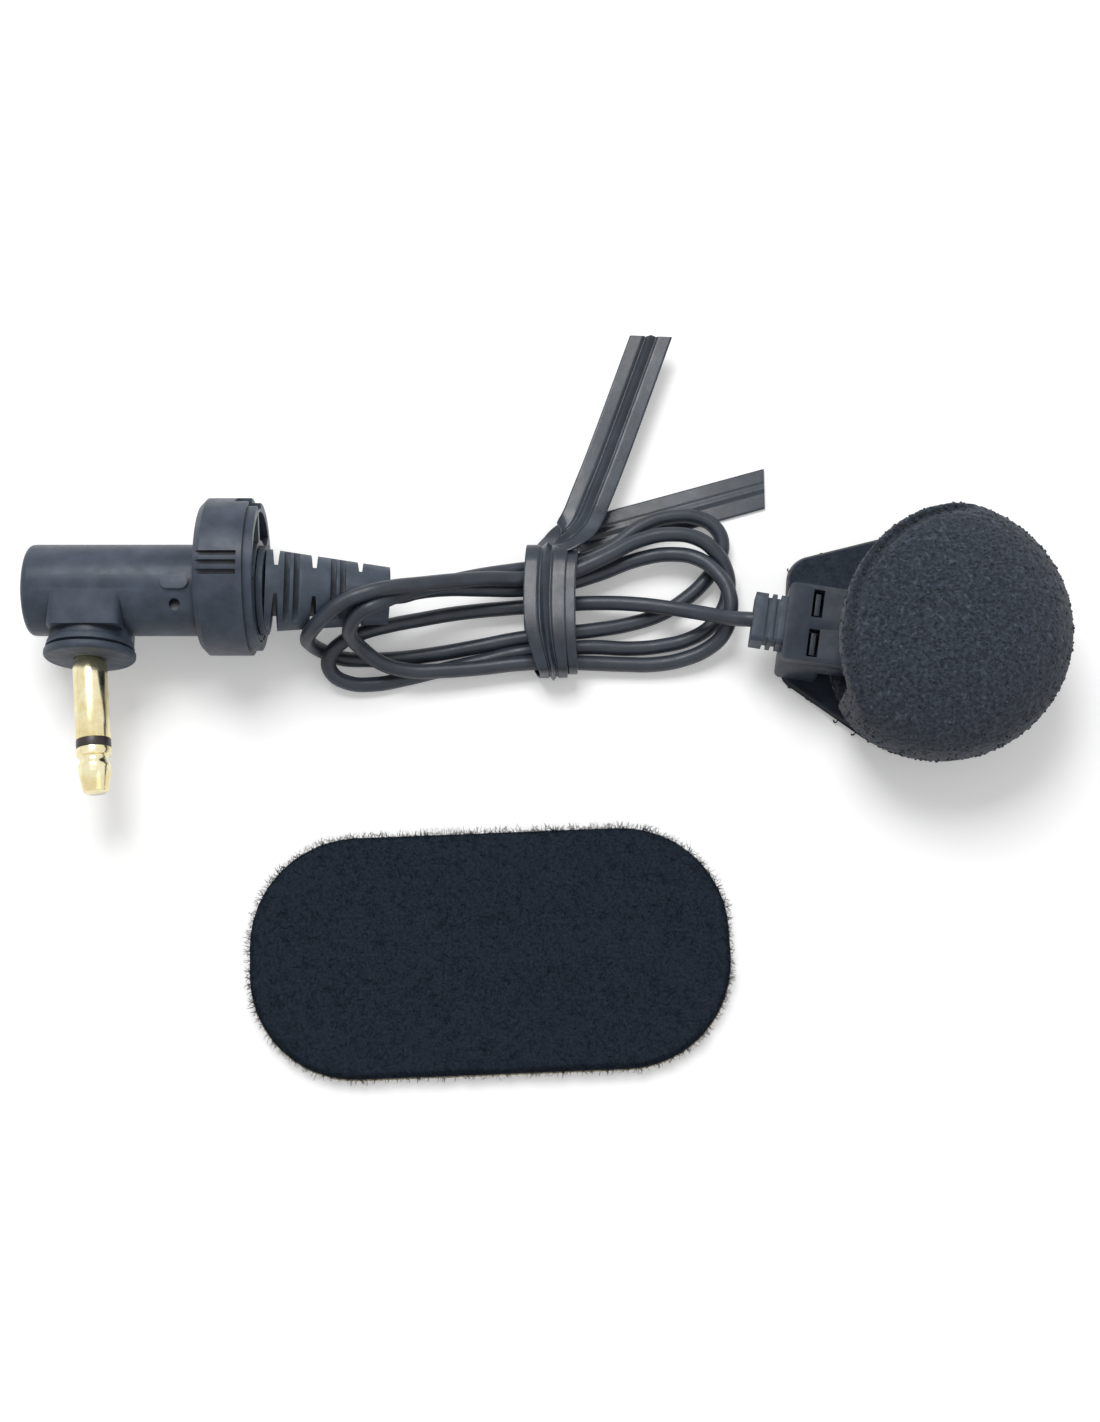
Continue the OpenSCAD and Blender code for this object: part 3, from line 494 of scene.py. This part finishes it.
def foamPoint(turn, rise, settings):
    power = 2 / settings["square"]
    direction = Vector((math.cos(turn), math.sin(turn)))
    free = settings["radius"] * math.cos(rise) ** power
    wall = mouthReach(direction, settings)
    blend = settings["mouthBlend"]
    share = max(0, min(1, 0.5 + 0.5 * (wall - free) / blend))
    reach = wall * (1 - share) + free * share - blend * share * (1 - share)
    lift = math.copysign(settings["height"] / 2 * abs(math.sin(rise)) ** power, rise)
    if wall < settings["radius"] and rise > 0:  # the rolled lip along the mouth
        inside = wall - reach
        fade = min(1, (settings["radius"] - wall) / settings["lipFade"])
        lip, groove = (size * math.exp(-(((inside - spot) / width) ** 2))
                       for size, width, spot in (settings["lip"], settings["groove"]))
        lift += (lip - groove) * fade
    middle = settings["base"] + settings["height"] / 2
    return headPoint(direction.x * reach, direction.y * reach, middle + lift)


def makeFoam(settings):
    columns, rows = settings["columns"], settings["rows"]
    points = [foamPoint(0, -math.pi / 2, settings), foamPoint(0, math.pi / 2, settings)]
    for row in range(1, rows):
        rise = math.pi * (row / rows - 0.5)
        points += [foamPoint(math.tau * k / columns, rise, settings) for k in range(columns)]
    faces = []
    last = 2 + (rows - 2) * columns
    for k in range(columns):
        after = (k + 1) % columns
        faces += [(0, 2 + after, 2 + k), (1, last + k, last + after)]
        for row in range(rows - 2):
            a = 2 + row * columns
            faces.append((a + k, a + after, a + columns + after, a + columns + k))
    foam = newPiece("windscreenFoam", points, faces)
    reach = settings["radius"] + 3  # past the mouth, so that the cut runs out of it
    radius = settings["pocketRadius"]
    outline = [(radius * math.cos(turn), radius * math.sin(turn)) for turn in
               [math.radians(degrees) for degrees in range(-90, 91, 5)]]
    outline += [(-reach, radius), (-reach, -radius)]
    turned = [headPoint(x, y, 0)[:2] for x, y in outline]
    pocket = slabPiece("pocket", turned, settings["pocketLow"], settings["pocketHigh"],
                       settings["pocketEdge"])
    modify(foam, "BOOLEAN", operation="DIFFERENCE", solver="EXACT", object=pocket)
    modify(foam, "REMESH", mode="VOXEL", voxel_size=settings["voxel"] * mm)
    modify(foam, "SMOOTH", factor=0.5, iterations=2)
    settle(foam)
    bpy.data.objects.remove(pocket)
    runTree(foam, grain, Fineness=settings["grainPerMm"] / mm, Depth=settings["grainDepth"] * mm,
            Detail=3.0, Finish=finishes["foam"])
    bpy.ops.mesh.primitive_ico_sphere_add(subdivisions=1, radius=settings["crumbSize"] * mm)
    crumb = bpy.context.object
    smallest, largest = settings["crumbScale"]
    runTree(foam, scatter, Shape=crumb, Density=settings["crumbsPerMm"] / mm ** 2, Smallest=smallest,
            Largest=largest, Tilt=settings["crumbTilt"], Seed=settings["seed"], Finish=finishes["foam"])
    bpy.data.objects.remove(crumb)
    foam.data.shade_smooth()
    return foam


foam = makeFoam(foamSettings)
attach(foam, "windscreen")
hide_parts("foam_windscreen")
print("windscreen made")

# the hook pad under the head
hookSettings = {
    "outline": [(0, 1, 12.2), (-12.3, 5.9, 2.8), (-12.8, -4.3, 1.6)],  # x, y and radius of each round corner
    "height": 0.9, "tape": 0.25, "adhesive": 0.25, "spread": 0.2, "adhesiveInset": 0.15,
    "perMm": 2.2, "wire": 0.09, "stemShare": 0.62, "bend": 0.16,
    "scale": (0.9, 1.05), "tilt": 0.4, "seed": 7,
}


def padOutline(circles, inset):
    spots = [Vector((x + (r - inset) * math.cos(a), y + (r - inset) * math.sin(a)))
             for x, y, r in circles for a in [math.tau * k / 72 for k in range(72)]]
    return [headPoint(*spots[i], 0)[:2] for i in convex_hull_2d(spots)]


def sweptTube(name, line, radii, sides):  # a closed tube with one radius for each point
    points, faces = [], []
    for i, place in enumerate(line):
        ahead = Vector(line[min(i + 1, len(line) - 1)]) - Vector(line[max(i - 1, 0)])
        side = ahead.cross(Vector((0, 1, 0))).normalized()
        other = side.cross(ahead).normalized()
        points += [Vector(place) + radii[i] * (math.cos(turn) * side + math.sin(turn) * other)
                   for turn in [math.tau * k / sides for k in range(sides)]]
    for i in range(len(line) - 1):
        near, far = i * sides, (i + 1) * sides
        faces += [(near + k, far + k, far + (k + 1) % sides, near + (k + 1) % sides) for k in range(sides)]
    faces += [tuple(range(sides)), tuple(reversed(range(len(points) - sides, len(points))))]
    piece = newPiece(name, points, faces)
    work = bmesh.new()
    work.from_mesh(piece.data)
    bmesh.ops.recalc_face_normals(work, faces=work.faces)
    work.to_mesh(piece.data)
    work.free()
    return piece


def makeHooks(settings):
    top, bend = settings["height"], settings["bend"]
    stem = settings["stemShare"] * top
    line = [(0, 0, -0.02), (0, 0, stem * 0.6), (0, 0, stem)]
    line += [(bend - bend * math.cos(turn), 0, stem + bend * math.sin(turn)) for turn in
             [math.radians(degrees) for degrees in range(35, 176, 35)]]
    line.append((2 * bend, 0, stem - 0.1))
    shape = sweptTube("hook", line, [settings["wire"]] * len(line), 5)
    outline = padOutline(settings["outline"], -settings["spread"])
    sheet = newPiece("hookSheet", [(x, y, top) for x, y in outline], [])
    work = bmesh.new()
    corners = [work.verts.new(v.co) for v in sheet.data.vertices]
    work.faces.new(reversed(corners))  # it faces down, and so do the hooks
    work.to_mesh(sheet.data)
    work.free()
    smallest, largest = settings["scale"]
    runTree(sheet, scatter, Shape=shape, Density=settings["perMm"] / mm ** 2, Smallest=smallest,
            Largest=largest, Tilt=settings["tilt"], Seed=settings["seed"], Finish=finishes["hook"])
    bpy.data.objects.remove(shape)
    return sheet


hooks = makeHooks(hookSettings)
tapeBase = hookSettings["height"]
tapeTop = tapeBase + hookSettings["tape"]
hookTape = slabPiece("hookTape", padOutline(hookSettings["outline"], 0.0), tapeBase, tapeTop, 0.06)
glueOutline = padOutline(hookSettings["outline"], hookSettings["adhesiveInset"])
hookGlue = slabPiece("hookAdhesive", glueOutline, tapeTop, tapeTop + hookSettings["adhesive"], 0.05)
for piece, finish, slotName, node in (
    (hooks, "hook", "hook_tape", "hook_field"),
    (hookTape, "tape", "hook_tape", "hook_tape"),
    (hookGlue, "darkGlue", "adhesive", "hook_adhesive"),
):
    smoothShade(piece, 40)
    giveFinish(piece, finishes[finish])
    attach(piece, "microphone")
    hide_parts(node)
print("hook pad made")

# the loop pad
padSettings = {
    "centre": (-45.5, -31.7), "turn": 2.3, "length": 49, "width": 24.8, "corner": 11,
    # low, high and inset of each layer
    "liner": (floorGap, 0.15, 0.0), "adhesive": (0.15, 0.35, 0.2), "backing": (0.35, 0.8, 0.1),
    "pile": (0.8, 1.7, 0.25), "pileEdge": 0.35, "voxel": 0.28, "lumpsPerMm": 1.1, "lumpDepth": 0.3,
    "fibreLength": 0.85, "fibreRadius": 0.028,
    "fibresPerMm": 4.2, "fibreScale": (0.5, 1.1), "fibreTilt": 1.15, "fibreSeed": 11,
    "rimFibresPerMm": 34, "rimScale": (0.45, 1.15), "rimTilt": 1.3, "rimSeed": 23,
}


def roundedOutline(settings, inset):
    turn = Matrix.Rotation(math.radians(settings["turn"]), 2)
    radius = settings["corner"] - inset
    across, along = settings["length"] / 2 - settings["corner"], settings["width"] / 2 - settings["corner"]
    outline = []
    for quarter, (sx, sy) in enumerate(((1, 1), (-1, 1), (-1, -1), (1, -1))):
        for step in range(13):
            way = math.radians(90 * quarter + 7.5 * step)
            spot = turn @ Vector((sx * across + radius * math.cos(way), sy * along + radius * math.sin(way)))
            outline.append(tuple(spot + Vector(settings["centre"])))
    return outline


def fibreShape(settings):
    length = settings["fibreLength"]
    line = [(0, 0, -0.1), (0.04, 0, 0.35 * length), (0.2, 0.05, 0.7 * length), (0.45, 0.12, 0.88 * length)]
    radius = settings["fibreRadius"]
    return sweptTube("fibre", line, [radius, radius, radius * 0.9, radius * 0.6], 3)


def makePile(settings):
    low, high, inset = settings["pile"]
    pile = slabPiece("loopPile", roundedOutline(settings, inset), low, high, settings["pileEdge"])
    modify(pile, "REMESH", mode="VOXEL", voxel_size=settings["voxel"] * mm)
    modify(pile, "SMOOTH", factor=0.5, iterations=2)
    settle(pile)
    runTree(pile, grain, Fineness=settings["lumpsPerMm"] / mm, Depth=settings["lumpDepth"] * mm,
            Detail=4.0, Finish=finishes["pile"])
    fibre = fibreShape(settings)
    fuzz = bpy.data.objects.new("pileFuzz", pile.data.copy())
    scene.collection.objects.link(fuzz)
    smallest, largest = settings["rimScale"]
    runTree(fuzz, scatter, Shape=fibre, Density=settings["rimFibresPerMm"] / mm ** 2, Smallest=smallest,
            Largest=largest, Tilt=settings["rimTilt"], Lowest=-0.5, Highest=0.85, Seed=settings["rimSeed"],
            Surface=False, Finish=finishes["pile"])
    fuzz.data.shade_smooth()
    smallest, largest = settings["fibreScale"]
    runTree(pile, scatter, Shape=fibre, Density=settings["fibresPerMm"] / mm ** 2, Smallest=smallest,
            Largest=largest, Tilt=settings["fibreTilt"], Lowest=-0.2, Seed=settings["fibreSeed"],
            Finish=finishes["pile"])
    bpy.data.objects.remove(fibre)
    pile.data.shade_smooth()
    return pile, fuzz


pile, fuzz = makePile(padSettings)
layers = []
for part in ("liner", "adhesive", "backing"):
    low, high, inset = padSettings[part]
    layers.append(slabPiece("pad" + part.capitalize(), roundedOutline(padSettings, inset), low, high, 0.03))
for piece, finish, slotName, node in (
    (pile, "pile", "loop_pile", "loop_pile"),
    (fuzz, "pile", "loop_pile", "loop_pile"),
    (layers[0], "liner", "release_liner", "release_liner"),
    (layers[1], "glue", "adhesive", "loop_adhesive"),
    (layers[2], "backing", "loop_backing", "loop_backing"),
):
    giveFinish(piece, finishes[finish])
    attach(piece, "pad")
    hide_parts(node)
print("loop pad made")

# the twist tie
tieSettings = {
    "width": 4.4, "thickness": 0.3, "core": 0.3, "coreWidth": 0.24,
    "groove": 0.17, "groovePlace": 0.55, "grooveWidth": 0.15,
    "wraps": [(-40.0, 6.95, 2.82), (-38.95, 6.6, 2.5)],  # x, half width and half height of each wrap
    "middle": (3.95, 2.86), "square": 3.2, "wrapSteps": 64,
    "gather": 0.34,  # how much narrower a wrap is at its near side
    "slant": (0.35, 1.0),  # how far a wrap's far side and near side lean towards the head
    "endSteps": 10,
    # place and outward direction at each point of the two loose ends
    "longEnd": [
        ((-39.5, 10.75, 1.3), (0, 1, 0)), ((-38.9, 11.2, 2.9), (-0.3, 0.9, 0.3)),
        ((-37.6, 12.0, 4.0), (-0.5, 0.2, 0.85)), ((-36.2, 13.6, 3.9), (-0.15, 0, 1)),
        ((-34.9, 16.9, 3.4), (0, 0, 1)), ((-32.8, 22.6, 3.2), (0.05, 0, 1)), ((-28.4, 35.2, 3.25), (0, 0, 1)),
    ],
    "shortEnd": [
        ((-39.0, 10.6, 3.6), (0.1, 1, 0.2)), ((-38.2, 11.7, 2.4), (0.1, 0.8, 0.6)),
        ((-36.9, 12.7, 1.0), (0.3, 0.2, 0.9)), ((-34.8, 13.3, 0.32), (0.1, 0, 1)),
        ((-29.0, 15.0, 0.22), (0, 0, 1)), ((-16.2, 18.7, 0.22), (0, 0, 1)),
    ],
    "relief": (1, 0.2), "cut": (0.3, -0.29),  # how strong each end's ridge is, and how slanting its cut
}


def ribbonProfile(settings, relief):
    # the section as (across, out) points: the wire's ridge down the middle, with a groove each side
    half, place, width = settings["width"] / 2, settings["groovePlace"], settings["grooveWidth"]
    across = [half * k / 22 for k in range(-22, 23)]
    points = []
    for s in across:
        ridge = settings["core"] * math.exp(-((s / settings["coreWidth"]) ** 2))
        grooves = settings["groove"] * math.exp(-(((abs(s) - place) / width) ** 2))
        body = settings["thickness"] / 2 * (1 if abs(s) < half * 0.99 else 0.5)
        points.append((s, body + (ridge - grooves) * relief))
    for s in reversed(across):
        body = settings["thickness"] / 2 * (0.7 if abs(s) < half * 0.99 else 0.35)
        points.append((s, -body - 0.6 * settings["core"] * math.exp(-((s / settings["coreWidth"]) ** 2))))
    return points


def smoothLine(points, steps):  # passes through the points
    line = []
    for i in range(len(points) - 1):
        a, b, c, d = (Vector(points[max(0, min(len(points) - 1, i + k))]) for k in (-1, 0, 1, 2))
        for step in range(steps):
            t = step / steps
            line.append(0.5 * (2 * b + (c - a) * t + (2 * a - 5 * b + 4 * c - d) * t * t
                               + (3 * b - a - 3 * c + d) * t ** 3))
    return line + [Vector(points[-1])]


def sweepRibbon(line, outward, profile, closed, widths, cut):
    points, faces = [], []
    count, sides = len(line), len(profile)
    for i in range(count):
        before = line[(i - 1) % count if closed else max(i - 1, 0)]
        after = line[(i + 1) % count if closed else min(i + 1, count - 1)]
        ahead = (after - before).normalized()
        side = ahead.cross(outward[i]).normalized()
        up = side.cross(ahead)
        for s, h in profile:
            place = line[i] + side * s * widths[i] + up * h
            if i == count - 1:
                place += ahead * s * cut
            points.append((place.x, place.y, max(place.z, floorGap)))
    for i in range(count if closed else count - 1):
        near, far = i * sides, ((i + 1) % count) * sides
        faces += [(near + k, near + (k + 1) % sides, far + (k + 1) % sides, far + k) for k in range(sides)]
    if not closed:
        faces += [tuple(reversed(range(sides))), tuple(range((count - 1) * sides, count * sides))]
    return points, faces


def wrapLine(settings, x, halfWidth, halfHeight):
    line, outward, widths = [], [], []
    power = 2 / settings["square"]
    middleY, middleZ = settings["middle"]
    for k in range(settings["wrapSteps"]):
        turn = math.tau * k / settings["wrapSteps"]
        y = math.copysign(abs(math.cos(turn)) ** power, math.cos(turn))
        z = math.copysign(abs(math.sin(turn)) ** power, math.sin(turn))
        lean = settings["slant"][0] if y > 0 else settings["slant"][1]
        line.append(Vector((x + lean * y * y, middleY + halfWidth * y, middleZ + halfHeight * z)))
        outward.append(Vector((0, math.cos(turn) / halfWidth, math.sin(turn) / halfHeight)).normalized())
        widths.append(1 - settings["gather"] * max(0, -y) ** 2)
    return line, outward, True, widths, 1, 0


def makeTie(settings):
    points, faces = [], []
    strips = [wrapLine(settings, *wrap) for wrap in settings["wraps"]]
    for end, relief, cut in zip(("longEnd", "shortEnd"), settings["relief"], settings["cut"]):
        places, facings = zip(*settings[end])
        line = smoothLine(places, settings["endSteps"])
        outward = [facing.normalized() for facing in smoothLine(facings, settings["endSteps"])]
        strips.append((line, outward, False, [1] * len(line), relief, cut))
    for line, outward, closed, widths, relief, cut in strips:
        some, more = sweepRibbon(line, outward, ribbonProfile(settings, relief), closed, widths, cut)
        faces += [tuple(len(points) + i for i in face) for face in more]
        points += some
    tie = newPiece("twistTie", points, faces)
    work = bmesh.new()
    work.from_mesh(tie.data)
    bmesh.ops.recalc_face_normals(work, faces=work.faces)
    work.to_mesh(tie.data)
    work.free()
    smoothShade(tie, 50)
    return tie


tie = makeTie(tieSettings)
giveFinish(tie, finishes["ribbon"])
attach(tie, "microphone")
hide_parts("twist_tie")
print("tie made")

# floor, lamps and surroundings
studioSettings = {
    "floorSize": 4.0, "floorLevel": -0.01,  # metres across, and mm up
    "floorColour": "f7f7f7", "lift": 0.22, "surround": 0.42, "aim": (-0.04, 0, 0),
    # name: (x, y, z in metres, size in metres, power in watts)
    "lamps": {"key": (-0.12, 0.22, 0.42, 0.24, 1.5), "fill": (0.3, -0.25, 0.45, 0.5, 0.35)},
}


def cameraLike(tree):  # 1 for what the camera sees, straight or in a reflection, else 0
    path = add(tree, "ShaderNodeLightPath")
    seen = add(tree, "ShaderNodeMath", {0: path.outputs["Is Camera Ray"], 1: path.outputs["Is Glossy Ray"]},
               operation="MAXIMUM")
    return add(tree, "ShaderNodeMath", {0: seen.outputs[0], 1: path.outputs["Is Transmission Ray"]},
               operation="MAXIMUM").outputs[0]


def makeStudio(settings):
    half = settings["floorSize"] / 2 / mm
    corners = [(-half, -half), (half, -half), (half, half), (-half, half)]
    floor = newPiece("floor", [(x, y, settings["floorLevel"]) for x, y in corners], [(0, 1, 2, 3)])
    material, tree, shader = newFinish("paleFloor", {"Roughness": 1.0, "Specular IOR Level": 0.0})[:3]
    shader.inputs["Base Color"].default_value = tint(settings["floorColour"])
    shader.inputs["Emission Color"].default_value = (1, 1, 1, 1)
    lift = add(tree, "ShaderNodeMath", {0: cameraLike(tree), 1: settings["lift"]}, operation="MULTIPLY")
    tree.links.new(lift.outputs[0], shader.inputs["Emission Strength"])
    giveFinish(floor, material)
    world = bpy.data.worlds.new("surround")
    scene.world = world
    world.use_nodes = True
    sky = world.node_tree
    strength = add(sky, "ShaderNodeMapRange", {
        "Value": cameraLike(sky), "To Min": settings["surround"], "To Max": 1.0})
    sky.nodes["Background"].inputs["Color"].default_value = (1, 1, 1, 1)
    sky.links.new(strength.outputs[0], sky.nodes["Background"].inputs["Strength"])
    aim = Vector(settings["aim"])
    for name, (x, y, z, size, power) in settings["lamps"].items():
        data = bpy.data.lights.new(name, "AREA")
        data.size = size
        data.energy = power
        lamp = bpy.data.objects.new(name, data)
        lamp.location = (x, y, z)
        lamp.rotation_mode = "QUATERNION"
        lamp.rotation_quaternion = (aim - lamp.location).to_track_quat("-Z", "Y")
        scene.collection.objects.link(lamp)


makeStudio(studioSettings)
print("studio lit")
